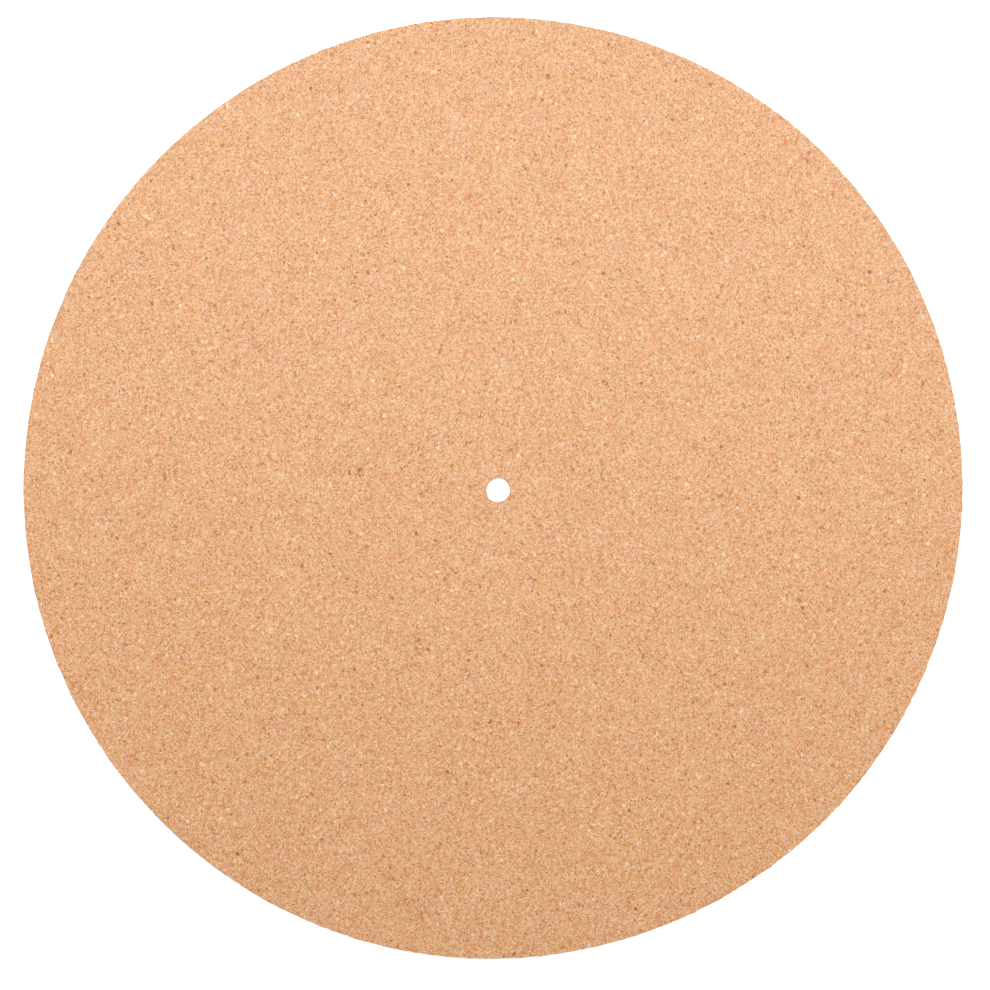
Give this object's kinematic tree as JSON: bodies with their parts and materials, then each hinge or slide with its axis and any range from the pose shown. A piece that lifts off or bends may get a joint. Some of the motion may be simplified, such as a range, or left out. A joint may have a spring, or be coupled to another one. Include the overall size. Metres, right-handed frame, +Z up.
{
  "type": "turntable platter mat",
  "caption": "Flat round cork mat with a small spindle hole in its middle, laid on a turntable's platter to carry the record.",
  "frame": {"origin": "centre of the underside, on the spindle's axis", "axes": "+Z up along the spindle's axis, towards the record; X and Y are free, because the mat is round"},
  "size_m": [0.295, 0.295, 0.003],
  "materials": {
    "cork": "matte, fine-grained agglomerated cork"
  },
  "bodies": {
    "root": {"cork_mat": "cork"}
  },
  "joints": []
}
